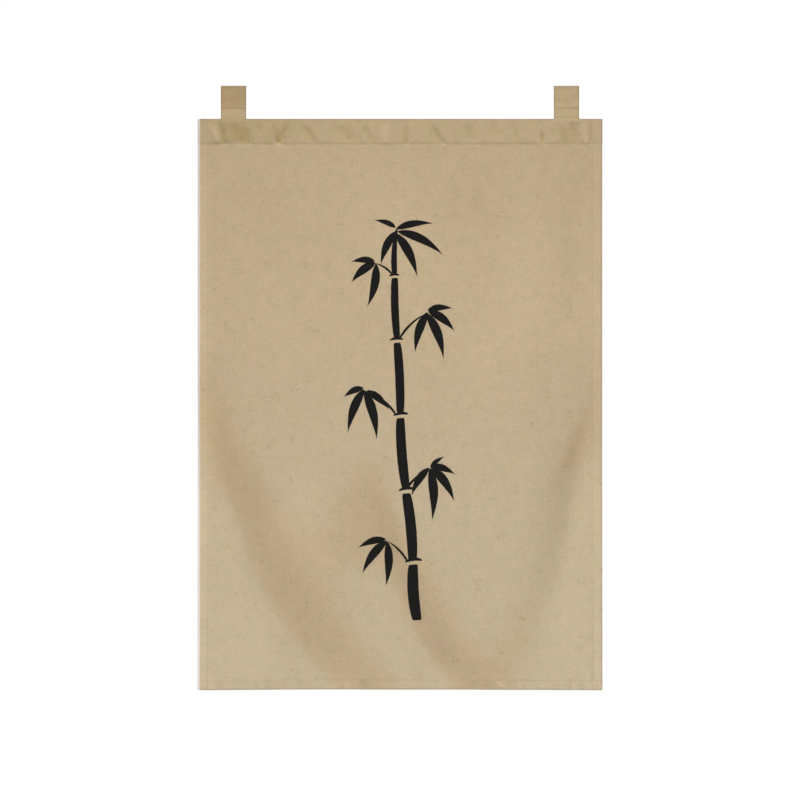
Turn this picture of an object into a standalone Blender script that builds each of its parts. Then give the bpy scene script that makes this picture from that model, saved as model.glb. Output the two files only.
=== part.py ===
"""Noren curtain: one hemmed cloth panel hanging from two sewn loops, in soft slanting folds.

Metres, +Z up, front towards -Y. The origin is the middle of the line that a rod would touch
inside the tops of both loops. A "drop" is a height measured down from the panel's top edge.
"""

import math
from collections import namedtuple

import bpy
import numpy as np

# The panel: a double heading above its stitch line, and turned hems on the other three sides.
PANEL_WIDTH = 0.850
PANEL_DROP = 1.200
HEADING = 0.0505
HEM = 0.020
FIELD_CLOTH = 0.0012
HEM_CLOTH = 0.0024
HEM_STEP = 0.002

# The loops: a flat strap folded over a rod and sewn to itself at the seam. Its tail lies behind the
# heading and passes under the heading's stitch line.
LOOP_SPACING = 0.700
STRAP_WIDTH = 0.053
STRAP = 0.0014
LOOP_RISE = 0.070
SEAM_DROP = 0.045
TAIL = 0.056
LOOP_RADIUS = 0.0085
GAP = 0.0003

# Spacing of the panel's grid, and the number of steps round a loop.
CELL = 0.025
LOOP_STEPS = 24

# Heights and depths that follow from the sizes above.
PANEL_TOP = STRAP - LOOP_RISE
SEAM_Z = STRAP - SEAM_DROP
PANEL_FRONT = -(STRAP + GAP + HEM_CLOTH)

# Each fold is a trough that pushes the cloth back by `depth`, or a swell where the depth is below
# zero. Its line runs from its start to its end, bending by the power `bow`, and its sides fall off
# over `left` and `right`. A fold that ends below the panel's foot runs off it at full depth.
Fold = namedtuple("Fold", "name start_x start_drop end_x end_drop bow depth left right")
FOLDS = (
    Fold("left_main", -0.425, 0.460, -0.052, 1.300, 2.50, 0.0350, 0.120, 0.090),
    Fold("right_main", 0.436, 0.420, 0.178, 1.300, 2.20, 0.0130, 0.070, 0.110),
    Fold("right_crease", 0.392, 0.600, 0.350, 0.940, 1.00, 0.0080, 0.038, 0.045),
    Fold("centre_low", -0.058, 0.700, 0.212, 1.300, 2.55, 0.0270, 0.150, 0.056),
    Fold("left_upper", -0.330, 0.070, -0.262, 0.400, 1.00, 0.0030, 0.050, 0.060),
    Fold("right_upper", 0.392, 0.060, 0.372, 0.360, 1.00, 0.0030, 0.040, 0.050),
    Fold("right_middle", 0.140, 0.080, 0.165, 0.420, 1.00, 0.0040, 0.060, 0.060),
    Fold("right_swell", 0.262, 0.100, 0.262, 1.000, 1.00, -0.0120, 0.080, 0.080),
    Fold("middle_swell", -0.030, 0.100, -0.050, 0.850, 1.00, -0.0120, 0.210, 0.200),
    Fold("left_flare", -0.450, 0.600, -0.400, 1.400, 1.00, -0.0240, 0.120, 0.090),
    Fold("right_flare", 0.450, 0.600, 0.420, 1.400, 1.00, -0.0200, 0.110, 0.100),
)

# The share of its length over which a fold deepens, the share past its end over which it fades,
# how narrow it begins, and the share of its length at which it has its full width.
FOLD_RISE = 0.45
FOLD_FADE = 0.50
NARROWEST = 0.4
WIDE_FROM = 0.6


def smooth(value):
    """Rises from 0 to 1 as value does, level at both ends: 3v^2 - 2v^3."""
    value = np.clip(value, 0.0, 1.0)
    return value * value * (3.0 - 2.0 * value)


def fold_push(fold, x, drop):
    """How far one fold pushes the cloth back: depth * exp(-(distance / side)^2).

    The depth fades at both ends, and the sides are narrower where the fold begins.
    """
    length = fold.end_drop - fold.start_drop
    share = (drop - fold.start_drop) / length
    way = np.maximum(share, 1e-6)
    run = fold.end_x - fold.start_x
    slope = run * fold.bow * way ** (fold.bow - 1.0) / length
    across = (x - fold.start_x - run * way**fold.bow) / np.sqrt(1.0 + slope**2)
    widening = NARROWEST + (1.0 - NARROWEST) * smooth(share / WIDE_FROM)
    side = np.where(across < 0.0, fold.left, fold.right) * widening
    strength = smooth(share / FOLD_RISE) * smooth((1.0 + FOLD_FADE - share) / FOLD_FADE)
    return fold.depth * strength * np.exp(-((across / side) ** 2))


def panel_front(x, drop):
    """The Y of the panel's front face: flat at the heading, pushed in and out by every fold below."""
    push = sum(fold_push(fold, x, drop) for fold in FOLDS)
    return PANEL_FRONT + push * smooth((drop - HEADING) / HEADING)


def stations(breaks, spacing):
    """Positions from the first break to the last, through them all, no further apart than spacing."""
    parts = [
        np.linspace(low, high, math.ceil((high - low) / spacing) + 1)[:-1]
        for low, high in zip(breaks, breaks[1:])
    ]
    return np.append(np.concatenate(parts), breaks[-1])


def cloth_material(name, colour):
    """Plain matte cotton and linen cloth."""
    material = bpy.data.materials.new(name)
    material.use_nodes = True
    shader = material.node_tree.nodes["Principled BSDF"]
    shader.inputs["Base Color"].default_value = (*colour, 1.0)
    shader.inputs["Roughness"].default_value = 0.9
    shader.inputs["Metallic"].default_value = 0.0
    material.diffuse_color = (*colour, 1.0)
    return material


def make_panel(collection):
    """The cloth: a grid on the folds, thickened backwards, twice as thick where it is turned over."""
    half = PANEL_WIDTH / 2.0
    inner = half - HEM
    foot = PANEL_DROP - HEM
    across = stations((-half, -inner, -inner + HEM_STEP, inner - HEM_STEP, inner, half), CELL)
    down = stations((0.0, HEADING, HEADING + HEM_STEP, foot - HEM_STEP, foot, PANEL_DROP), CELL)
    bpy.ops.mesh.primitive_grid_add(x_subdivisions=len(across) - 1, y_subdivisions=len(down) - 1, size=2.0)
    panel = bpy.context.object
    panel.name = "panel"
    mesh = panel.data
    mesh.name = "panel"

    flat = np.empty(len(mesh.vertices) * 3)
    mesh.vertices.foreach_get("co", flat)
    flat = flat.reshape(-1, 3)
    column = np.rint((flat[:, 0] + 1.0) / 2.0 * (len(across) - 1)).astype(int)
    row = np.rint((1.0 - flat[:, 1]) / 2.0 * (len(down) - 1)).astype(int)
    x = across[column]
    drop = down[row]
    mesh.vertices.foreach_set("co", np.stack([x, panel_front(x, drop), PANEL_TOP - drop], axis=1).ravel())
    mesh.update()
    mesh.shade_smooth()

    turned = (np.abs(x) > inner - HEM_STEP / 2.0) | (drop < HEADING + HEM_STEP / 2.0)
    turned |= drop > foot - HEM_STEP / 2.0
    group = panel.vertex_groups.new(name="turned_over")
    group.add(np.flatnonzero(turned).tolist(), 1.0, "REPLACE")
    solidify = panel.modifiers.new("thickness", "SOLIDIFY")
    solidify.thickness = HEM_CLOTH
    solidify.offset = -1.0
    solidify.vertex_group = group.name
    solidify.thickness_vertex_group = FIELD_CLOTH / HEM_CLOTH
    move_to(panel, collection)
    mesh.materials.append(cloth_material("panel_cloth", (0.52, 0.41, 0.27)))


def arc(radius, start, end):
    """Points (y, z) round the rod's middle, which is one loop radius below the origin."""
    angles = np.linspace(start, end, LOOP_STEPS + 1)
    return [(radius * math.cos(angle), radius * math.sin(angle) - LOOP_RADIUS) for angle in angles]


def loop_outlines():
    """The strap's side view: the outer outline down to the tail, and the drop-shaped hole.

    Both sides of the hole run straight from the seam to where they touch the rod. Their slant
    from upright has the sine radius / (seam to rod's middle).
    """
    slant = math.asin(LOOP_RADIUS / (-LOOP_RADIUS - SEAM_Z))
    hole = arc(LOOP_RADIUS, -slant, math.pi + slant) + [(0.0, SEAM_Z)]
    join_z = SEAM_Z - STRAP * math.tan(slant / 2.0)
    tail_z = PANEL_TOP - TAIL
    outer = arc(LOOP_RADIUS + STRAP, -slant, math.pi + slant)
    outer += [(-STRAP, join_z), (-STRAP, tail_z), (STRAP, tail_z), (STRAP, join_z)]
    return outer, hole


def make_loop(name, x, collection):
    """One strap loop: its flat side view, extruded to the strap's width along X."""
    curve = bpy.data.curves.new(name, "CURVE")
    curve.dimensions = "2D"
    curve.fill_mode = "BOTH"
    curve.extrude = STRAP_WIDTH / 2.0
    for outline in loop_outlines():
        spline = curve.splines.new("POLY")
        spline.points.add(len(outline) - 1)
        for point, (y, z) in zip(spline.points, outline):
            point.co = (y, z, 0.0, 1.0)
        spline.use_cyclic_u = True
    loop = bpy.data.objects.new(name, curve)
    loop.location = (x, 0.0, 0.0)
    loop.rotation_euler = (math.radians(90.0), 0.0, math.radians(90.0))
    curve.materials.append(cloth_material(name + "_cloth", (0.46, 0.35, 0.22)))
    collection.objects.link(loop)


def move_to(thing, collection):
    """Puts an object in the curtain's collection alone."""
    for holder in list(thing.users_collection):
        holder.objects.unlink(thing)
    collection.objects.link(thing)


for old in list(bpy.data.objects):
    bpy.data.objects.remove(old, do_unlink=True)

curtain = bpy.data.collections.new("noren_curtain")
bpy.context.scene.collection.children.link(curtain)
make_panel(curtain)
for side, name in ((-1.0, "tab_left"), (1.0, "tab_right")):
    make_loop(name, side * LOOP_SPACING / 2.0, curtain)
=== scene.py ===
"""The looks of a noren curtain: a linen panel, two sewn loops, their thread, and a painted bamboo.

Metres, +Z up, the front towards -Y, as in the frame. A drop is a height down from the panel's top.
"""

import math
from collections import namedtuple

import bpy
import numpy as np
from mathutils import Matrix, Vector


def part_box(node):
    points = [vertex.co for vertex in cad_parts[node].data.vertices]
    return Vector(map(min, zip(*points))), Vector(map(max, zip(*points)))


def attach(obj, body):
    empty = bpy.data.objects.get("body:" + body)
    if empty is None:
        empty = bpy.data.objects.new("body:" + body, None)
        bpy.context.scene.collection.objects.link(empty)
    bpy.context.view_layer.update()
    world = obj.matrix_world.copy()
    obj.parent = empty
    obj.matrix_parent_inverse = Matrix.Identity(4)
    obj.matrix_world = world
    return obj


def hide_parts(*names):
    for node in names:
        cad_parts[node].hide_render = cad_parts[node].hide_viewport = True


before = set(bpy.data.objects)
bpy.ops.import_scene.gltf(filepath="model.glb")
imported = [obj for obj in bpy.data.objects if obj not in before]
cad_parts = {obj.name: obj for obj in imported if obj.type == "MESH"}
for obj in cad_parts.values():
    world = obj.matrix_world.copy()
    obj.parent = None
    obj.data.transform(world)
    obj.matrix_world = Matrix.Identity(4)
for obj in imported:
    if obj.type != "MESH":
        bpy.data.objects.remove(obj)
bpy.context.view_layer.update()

# The panel: one rectangle of plain-woven linen and cotton, hanging in soft slanting folds. Its
# sides and foot are turned to the back twice, and a doubled heading is turned down at the top.

PANEL_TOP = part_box("panel")[1][2]
PANEL_DROP = 1.200
HALF_WIDTH = 0.425
HEADING = 0.0505
HEM = 0.020
PANEL_FRONT = -0.0041
CLOTH = 0.0006
HEM_CLOTH = 0.0019
HEADING_CLOTH = 0.0024
# The turned layers end in a step, this far past their stitches at its foot, and this wide.
HEM_PAST = 0.0025
HEADING_PAST = 0.0035
STEP_WIDTH = 0.001
LOOP_SPACING = 0.700
STRAP_WIDTH = 0.053
# Over the loops' tails, which lie behind it, the heading stands out this far in front and is this
# much thicker at the back, so that it comes close to them. Both have soft edges this wide.
TAIL_BULGE = 0.0007
TAIL_FILL = 0.0009
TAIL_EDGE = 0.006

# The main folds are the solid's own: troughs that push the cloth back, or swells where the depth
# is below zero. A line runs from its start to its end, bending by the power `bow`.
Fold = namedtuple("Fold", "name start_x start_drop end_x end_drop bow depth left right")
FOLDS = (
    Fold("left_main", -0.425, 0.460, -0.052, 1.300, 2.50, 0.0350, 0.120, 0.090),
    Fold("right_main", 0.436, 0.420, 0.178, 1.300, 2.20, 0.0130, 0.070, 0.110),
    Fold("right_crease", 0.392, 0.600, 0.350, 0.940, 1.00, 0.0080, 0.038, 0.045),
    Fold("centre_low", -0.058, 0.700, 0.212, 1.300, 2.55, 0.0270, 0.150, 0.056),
    Fold("left_upper", -0.330, 0.070, -0.262, 0.400, 1.00, 0.0030, 0.050, 0.060),
    Fold("right_upper", 0.392, 0.060, 0.372, 0.360, 1.00, 0.0030, 0.040, 0.050),
    Fold("right_middle", 0.140, 0.080, 0.165, 0.420, 1.00, 0.0040, 0.060, 0.060),
    Fold("right_swell", 0.262, 0.100, 0.262, 1.000, 1.00, -0.0120, 0.080, 0.080),
    Fold("middle_swell", -0.030, 0.100, -0.050, 0.850, 1.00, -0.0120, 0.210, 0.200),
    Fold("left_flare", -0.450, 0.600, -0.400, 1.400, 1.00, -0.0240, 0.120, 0.090),
    Fold("right_flare", 0.450, 0.600, 0.420, 1.400, 1.00, -0.0200, 0.110, 0.100),
)
# The share of its length over which a fold deepens, the share past its end over which it fades,
# how narrow it begins, and the share of its length at which it has its full width.
FOLD_RISE = 0.45
FOLD_FADE = 0.50
NARROWEST = 0.4
WIDE_FROM = 0.6

# Small puckers of the stitched heading, where the cloth is drawn up beside and between the loops.
PUCKERS = (
    Fold("left_of_loop", -0.398, 0.010, -0.386, 0.042, 1.0, -0.0013, 0.006, 0.007),
    Fold("loop_left_edge", -0.382, 0.002, -0.372, 0.046, 1.0, 0.0011, 0.006, 0.009),
    Fold("loop_slack", -0.350, 0.004, -0.338, 0.040, 1.0, 0.0010, 0.014, 0.012),
    Fold("loop_right_edge", -0.322, 0.010, -0.318, 0.048, 1.0, 0.0012, 0.010, 0.006),
    Fold("small_vee", -0.298, 0.002, -0.290, 0.030, 1.0, 0.0008, 0.006, 0.005),
    Fold("vee_right", -0.230, 0.002, -0.254, 0.046, 1.0, 0.0014, 0.006, 0.005),
    Fold("vee_left", -0.266, 0.006, -0.256, 0.046, 1.0, 0.0013, 0.008, 0.005),
    Fold("slant_left", -0.204, 0.006, -0.184, 0.040, 1.1, 0.0014, 0.009, 0.005),
    Fold("soft_one", -0.134, 0.008, -0.104, 0.040, 1.0, 0.0009, 0.016, 0.012),
    Fold("soft_two", -0.080, 0.006, -0.060, 0.044, 1.0, 0.0009, 0.008, 0.006),
    Fold("bright_rib", -0.034, 0.002, -0.030, 0.048, 1.0, -0.0008, 0.008, 0.010),
    Fold("upright", 0.012, 0.004, 0.014, 0.048, 1.0, 0.0014, 0.007, 0.005),
    Fold("slant_middle", 0.064, 0.004, 0.088, 0.046, 1.1, 0.0014, 0.009, 0.005),
    Fold("soft_three", 0.138, 0.006, 0.150, 0.036, 1.0, 0.0009, 0.014, 0.010),
    Fold("soft_four", 0.190, 0.004, 0.200, 0.030, 1.0, 0.0007, 0.008, 0.007),
    Fold("faint", 0.236, 0.004, 0.246, 0.036, 1.0, 0.0009, 0.006, 0.005),
    Fold("nick", 0.296, 0.022, 0.300, 0.046, 1.0, 0.0022, 0.004, 0.004),
    Fold("right_loop_arc", 0.334, 0.010, 0.344, 0.040, 1.0, 0.0010, 0.007, 0.010),
    Fold("right_loop_slack", 0.362, 0.004, 0.368, 0.040, 1.0, 0.0010, 0.012, 0.008),
    Fold("right_rib", 0.388, 0.004, 0.392, 0.048, 1.0, -0.0009, 0.005, 0.006),
    Fold("right_end", 0.400, 0.002, 0.402, 0.048, 1.0, 0.0011, 0.005, 0.005),
)
# The heading's puckers are built this many times as deep as the table says, and fade out over
# PUCKER_FADE, down to PUCKERS_PAST below its stitches.
PUCKER_GAIN = 1.5
PUCKER_FADE = 0.009
PUCKERS_PAST = 0.007
# Small puckers of the bottom hem, where its stitches draw it up unevenly.
FOOT_PUCKERS = (
    Fold("left_rib", -0.398, 1.168, -0.395, 1.204, 1.0, -0.0010, 0.005, 0.005),
    Fold("left_tick", -0.377, 1.176, -0.375, 1.204, 1.0, 0.0014, 0.005, 0.005),
    Fold("left_tick_rib", -0.366, 1.176, -0.364, 1.204, 1.0, -0.0009, 0.005, 0.006),
    Fold("foot_one", -0.300, 1.150, -0.270, 1.205, 1.0, 0.0010, 0.014, 0.012),
    Fold("foot_two", -0.216, 1.170, -0.212, 1.204, 1.0, 0.0012, 0.006, 0.010),
    Fold("foot_two_rib", -0.186, 1.172, -0.172, 1.200, 1.0, -0.0009, 0.008, 0.010),
    Fold("middle_tick", -0.076, 1.172, -0.074, 1.204, 1.0, 0.0014, 0.005, 0.005),
    Fold("middle_rib", 0.018, 1.172, 0.020, 1.204, 1.0, -0.0009, 0.008, 0.008),
    Fold("foot_three", 0.040, 1.160, 0.036, 1.205, 1.0, 0.0009, 0.010, 0.010),
    Fold("bright_slant", 0.200, 1.178, 0.222, 1.204, 1.0, -0.0015, 0.006, 0.005),
    Fold("slant_hollow", 0.236, 1.176, 0.240, 1.204, 1.0, 0.0011, 0.007, 0.005),
    Fold("second_rib", 0.252, 1.176, 0.254, 1.204, 1.0, -0.0010, 0.005, 0.005),
    Fold("second_hollow", 0.262, 1.176, 0.264, 1.204, 1.0, 0.0008, 0.005, 0.005),
    Fold("third_rib", 0.275, 1.178, 0.277, 1.204, 1.0, -0.0009, 0.005, 0.006),
    Fold("right_tick", 0.356, 1.172, 0.356, 1.204, 1.0, 0.0014, 0.006, 0.006),
    Fold("right_tick_rib", 0.367, 1.176, 0.367, 1.204, 1.0, -0.0011, 0.005, 0.005),
    Fold("right_hollow", 0.379, 1.176, 0.380, 1.204, 1.0, 0.0010, 0.005, 0.005),
    Fold("corner_rib", 0.398, 1.158, 0.394, 1.204, 1.0, -0.0014, 0.005, 0.006),
)
# A row of stitches draws the cloth into a groove, and gathers it unevenly on both sides. The gathers
# are two waves that don't repeat together: their length, strength and phase.
GROOVE_DEPTH = 0.00030
GROOVE_REACH = 0.0013
GATHER_DEPTH = 0.00016
GATHER_REACH = 0.009
GATHER_WAVES = ((0.031, 1.0, 0.0), (0.0187, 0.8, 1.3))
# The bottom hem's looser stitches draw it in this much as far, and their gathers are moved along.
FOOT_DRAW = 0.25
FOOT_SHIFT = 0.2


def smooth(value):
    """Rises from 0 to 1 as value does, level at both ends: 3v^2 - 2v^3."""
    value = np.clip(value, 0.0, 1.0)
    return value * value * (3.0 - 2.0 * value)


def fold_push(fold, x, drop):
    """How far one fold pushes the cloth back: depth * exp(-(distance / side)^2).

    The depth fades at both ends, and the sides are narrower where the fold begins.
    """
    length = fold.end_drop - fold.start_drop
    share = (drop - fold.start_drop) / length
    way = np.maximum(share, 1e-6)
    run = fold.end_x - fold.start_x
    slope = run * fold.bow * way ** (fold.bow - 1.0) / length
    across = (x - fold.start_x - run * way**fold.bow) / np.sqrt(1.0 + slope**2)
    widening = NARROWEST + (1.0 - NARROWEST) * smooth(share / WIDE_FROM)
    side = np.where(across < 0.0, fold.left, fold.right) * widening
    strength = smooth(share / FOLD_RISE) * smooth((1.0 + FOLD_FADE - share) / FOLD_FADE)
    return fold.depth * strength * np.exp(-((across / side) ** 2))


def all_pushes(folds, x, drop):
    """How far all the folds of a table together push the cloth back: the sum of their fold_push."""
    return sum(fold_push(fold, x, drop) for fold in folds)


def seam_dip(distance, along):
    """How far a row of stitches draws the cloth in, by the distance from it and the place along it.

    Its groove is GROOVE_DEPTH * exp(-(distance / GROOVE_REACH)^2). Its gathers are GATHER_DEPTH *
    exp(-(distance / GATHER_REACH)^2) times the sum of strength * sin(2 pi along / length + phase).
    """
    groove = GROOVE_DEPTH * np.exp(-((distance / GROOVE_REACH) ** 2))
    turn = along * 2 * math.pi
    gather = sum(strength * np.sin(turn / length + phase) for length, strength, phase in GATHER_WAVES)
    return groove + GATHER_DEPTH * gather * np.exp(-((distance / GATHER_REACH) ** 2))


def over_tail(x, drop):
    """1 on the heading in front of the tails of the loops, 0 elsewhere, with soft edges."""
    reach = np.abs(np.abs(x) - LOOP_SPACING / 2.0)
    across = smooth((STRAP_WIDTH / 2.0 + TAIL_EDGE / 2.0 - reach) / TAIL_EDGE)
    return across * smooth((HEADING - drop) / TAIL_EDGE)


def cloth_front(x, drop):
    """The Y of the cloth's front: the sum of the folds below the heading, the puckers, the seams'
    grooves and gathers, and the heading's bulge over the tails of the loops."""
    push = all_pushes(FOLDS, x, drop) * smooth((drop - HEADING) / HEADING)
    inside = smooth((HEADING + PUCKERS_PAST - drop) / PUCKER_FADE)
    push = push + PUCKER_GAIN * all_pushes(PUCKERS, x, drop) * inside + all_pushes(FOOT_PUCKERS, x, drop)
    foot_seam = seam_dip(PANEL_DROP - HEM - drop, x + FOOT_SHIFT)
    push = push + seam_dip(drop - HEADING, x) + FOOT_DRAW * foot_seam
    push = push + seam_dip(HALF_WIDTH - HEM - np.abs(x), drop + x)
    return PANEL_FRONT + push - TAIL_BULGE * over_tail(x, drop)


def cloth_back(x, drop):
    """The Y of the cloth's back: the front plus the thickness of one layer, or of the turned layers
    as far as their steps, and the fill over the tails of the loops."""
    inset = np.minimum(HALF_WIDTH - np.abs(x), PANEL_DROP - drop)
    hem = smooth((HEM + HEM_PAST - inset) / STEP_WIDTH)
    heading = smooth((HEADING + HEADING_PAST - drop) / STEP_WIDTH)
    thick = np.maximum(CLOTH + (HEM_CLOTH - CLOTH) * hem, CLOTH + (HEADING_CLOTH - CLOTH) * heading)
    return cloth_front(x, drop) + thick + TAIL_FILL * over_tail(x, drop)


def stations(breaks, spacing):
    """Positions from the first break to the last, through them all, no further apart than spacing."""
    parts = [
        np.linspace(low, high, math.ceil((high - low) / spacing) + 1)[:-1]
        for low, high in zip(breaks, breaks[1:])
    ]
    return np.append(np.concatenate(parts), breaks[-1])


def grid_faces(rows, columns):
    """The quads of a grid whose points run row by row, seen with rows running down and columns right."""
    corner = np.arange(rows * columns).reshape(rows, columns)[:-1, :-1].ravel()
    return np.stack([corner, corner + columns, corner + columns + 1, corner + 1], axis=1)


def piece_from(name, points, faces, places, tone=None):
    """A smooth piece at the origin from points (n, 3) and faces, each a row of point numbers.

    places (n, 2) are metres along the cloth, kept as its UV map. tone (n, 3) is the light and shade
    painted on the cloth in red, green and blue, 1 where none is painted.
    """
    mesh = bpy.data.meshes.new(name)
    mesh.from_pydata(points.tolist(), [], faces)
    mesh.shade_smooth()
    corners = np.empty(len(mesh.loops), dtype=np.int32)
    mesh.loops.foreach_get("vertex_index", corners)
    mesh.uv_layers.new(name="cloth").data.foreach_set("uv", places[corners].ravel())
    if tone is not None:
        mesh.attributes.new("tone", "FLOAT_VECTOR", "POINT").data.foreach_set("vector", tone.ravel())
    piece = bpy.data.objects.new(name, mesh)
    bpy.context.scene.collection.objects.link(piece)
    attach(piece, "root")
    return piece


def closed_sheet(front, back, rim_steps):
    """One closed skin from a front and a back grid (rows, columns, 3), with a half-round edge.

    The edge's rings go round the outline. Their points lie at middle - half * cos(a) + out * half *
    sin(a), where half is half the thickness there and out points away from the sheet.
    """
    rows, columns = front.shape[:2]
    number = np.arange(rows * columns).reshape(rows, columns)
    outline = np.concatenate([number[:-1, 0], number[-1, :-1], number[:0:-1, -1], number[0, :0:-1]])
    out = np.zeros((rows, columns, 3))
    out[:, 0, 0] = -1.0
    out[:, -1, 0] = 1.0
    out[0, :, 2] = 1.0
    out[-1, :, 2] = -1.0
    out = out.reshape(-1, 3)[outline]
    out /= np.linalg.norm(out, axis=1, keepdims=True)
    near = front.reshape(-1, 3)[outline]
    half = (back.reshape(-1, 3)[outline] - near) / 2.0
    reach = out * np.linalg.norm(half, axis=1, keepdims=True)
    angles = np.arange(1, rim_steps) * math.pi / rim_steps
    rings = [near + half * (1.0 - math.cos(angle)) + reach * math.sin(angle) for angle in angles]
    points = np.concatenate([front.reshape(-1, 3), back.reshape(-1, 3), *rings])
    count = len(outline)
    middles = [2 * rows * columns + k * count + np.arange(count) for k in range(rim_steps - 1)]
    numbers = [outline, *middles, outline + rows * columns]
    pairs = zip(numbers, numbers[1:])
    strips = [np.stack([np.roll(a, -1), a, b, np.roll(b, -1)], axis=1) for a, b in pairs]
    quads = grid_faces(rows, columns)
    faces = np.concatenate([quads, quads[:, ::-1] + rows * columns, *strips])
    return points, faces, outline


# Soft pools of painted light on the cloth, or of painted shade where the gain is below zero, that
# fill out the shading of its folds and edges: the middle, how far it spreads across and down, and
# how much light is painted there.
Patch = namedtuple("Patch", "x drop across down gain")
PAINTED_LIGHT_AND_SHADE_PATCHES = (
    Patch(-0.415, 0.540, 0.018, 0.300, 0.090),
    Patch(0.412, 0.470, 0.020, 0.230, 0.028),
    Patch(-0.105, 0.307, 0.100, 0.110, -0.032),
    Patch(0.285, 0.380, 0.060, 0.150, 0.035),
    Patch(-0.362, 0.715, 0.050, 0.090, 0.060),
    Patch(-0.205, 0.845, 0.090, 0.085, 0.055),
    Patch(-0.180, 0.940, 0.035, 0.050, 0.050),
    Patch(-0.315, 0.925, 0.020, 0.035, -0.040),
    Patch(-0.236, 1.166, 0.060, 0.030, -0.055),
    Patch(-0.124, 1.188, 0.045, 0.022, 0.060),
    Patch(0.162, 1.184, 0.050, 0.024, 0.085),
    Patch(-0.270, 1.192, 0.110, 0.013, -0.045),
    Patch(-0.402, 0.645, 0.022, 0.075, 0.085),
    Patch(0.393, 0.700, 0.018, 0.060, 0.060),
    Patch(0.390, 0.250, 0.018, 0.130, 0.030),
    Patch(-0.245, 0.880, 0.045, 0.060, 0.035),
    Patch(-0.246, 1.110, 0.040, 0.035, -0.060),
    Patch(0.055, 1.130, 0.045, 0.040, -0.055),
    Patch(0.120, 1.156, 0.025, 0.020, 0.060),
    Patch(-0.178, 1.192, 0.025, 0.014, -0.060),
)
# The shares of its light that the heading's cloth loses: everywhere, more to the left of LEFT_FROM,
# less to the right of RIGHT_FROM, and over the tails. The changes are spread over SIDE_SPREAD.
HEADING_SHADE = 0.045
LEFT_FROM, LEFT_SHADE = -0.150, 0.040
RIGHT_FROM, RIGHT_SHADE = 0.100, -0.015
TAIL_SHADE, LEFT_TAIL_SHADE = 0.015, 0.040
SIDE_SPREAD = 0.100
HEADING_EDGE = 0.004
# The hollows of the puckers get this much painted shade for each metre of depth, and their ribs as
# much painted light.
PUCKER_SHADE = 75.0
FOOT_PUCKER_SHADE = 45.0
# The top edge gets painted light over the tails, from this drop up, so that no line of shade parts it
# from the strap.
TOP_LIGHT, TOP_DROP, TOP_EDGE = 0.19, 0.0042, 0.0025
# Just below the heading the cloth gets a painted shade, as under the heading's edge, dying off over
# this length.
BELOW_SHADE, BELOW_FADE = 0.028, 0.025
# The side hems get painted light, a little more low down, and their stitches a darker line of
# painted shade low down.
SIDE_LIGHT, SIDE_PAST, SIDE_EDGE = 0.040, 0.001, 0.003
LOW_LIGHT, LOW_LIGHT_DROP, LOW_LIGHT_SPREAD = 0.012, 0.550, 0.250
LINE_SHADE, LINE_REACH = 0.070, 0.0012
LINE_DROP, LINE_SPREAD = 1.020, 0.060
# Cloth that slopes back by this much as it drops is fully shaded, and looks warmer by this share of
# its red, green and blue, because the light there comes off other cloth. Slopes are taken over
# twice SLOPE_REACH.
SHADED_SLOPE = 0.16
SHADED_LOSS = np.array([-0.010, 0.050, 0.110])
SLOPE_REACH = 0.004
# The heading's shade takes this much more of green and blue than of red, so it looks browner.
BROWNER = np.array([0.0, 0.10, 0.90])


def cloth_tone(x, drop):
    """The light and shade painted on the cloth in red, green and blue (n, 3), 1 in the plain field.

    It is (1 + light - shade) * (1 - SHADED_LOSS where the cloth faces down), less BROWNER times the
    shade where that is above 0. The shade is the heading's, its puckers' and the tails'. The light
    adds up the rest, and for each patch gain * exp(-(aside / across)^2 - (below / down)^2).
    """
    heading = smooth((HEADING + HEADING_EDGE / 2.0 - drop) / HEADING_EDGE)
    tail = over_tail(x, drop)
    left = smooth((LEFT_FROM - x) / SIDE_SPREAD)
    right = smooth((x - RIGHT_FROM) / SIDE_SPREAD)
    shade = heading * (HEADING_SHADE + LEFT_SHADE * left + RIGHT_SHADE * right)
    shade = shade + tail * (TAIL_SHADE + LEFT_TAIL_SHADE * left)
    shade = shade + PUCKER_SHADE * all_pushes(PUCKERS, x, drop) * heading
    light = TOP_LIGHT * tail * smooth((TOP_DROP - drop) / TOP_EDGE)
    light = light - BELOW_SHADE * (1.0 - heading) * np.exp(-np.maximum(drop - HEADING, 0.0) / BELOW_FADE)
    light = light - FOOT_PUCKER_SHADE * all_pushes(FOOT_PUCKERS, x, drop)
    inset = HALF_WIDTH - np.abs(x)
    line = LINE_SHADE * np.exp(-(((inset - HEM) / LINE_REACH) ** 2))
    light = light - line * smooth((drop - LINE_DROP) / LINE_SPREAD)
    side_hem = smooth((HEM + SIDE_PAST - inset) / SIDE_EDGE) * (1.0 - heading)
    light = light + side_hem * (SIDE_LIGHT + LOW_LIGHT * smooth((drop - LOW_LIGHT_DROP) / LOW_LIGHT_SPREAD))
    for patch in PAINTED_LIGHT_AND_SHADE_PATCHES:
        away = ((x - patch.x) / patch.across) ** 2 + ((drop - patch.drop) / patch.down) ** 2
        light = light + patch.gain * np.exp(-away)
    slope = cloth_front(x, drop + SLOPE_REACH) - cloth_front(x, drop - SLOPE_REACH)
    shaded = smooth(slope / (2.0 * SLOPE_REACH) / SHADED_SLOPE) * (1.0 - heading)
    light = 1.0 + (light - shade)[:, None] - np.maximum(shade, 0.0)[:, None] * BROWNER
    return light * (1.0 - shaded[:, None] * SHADED_LOSS)


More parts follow.
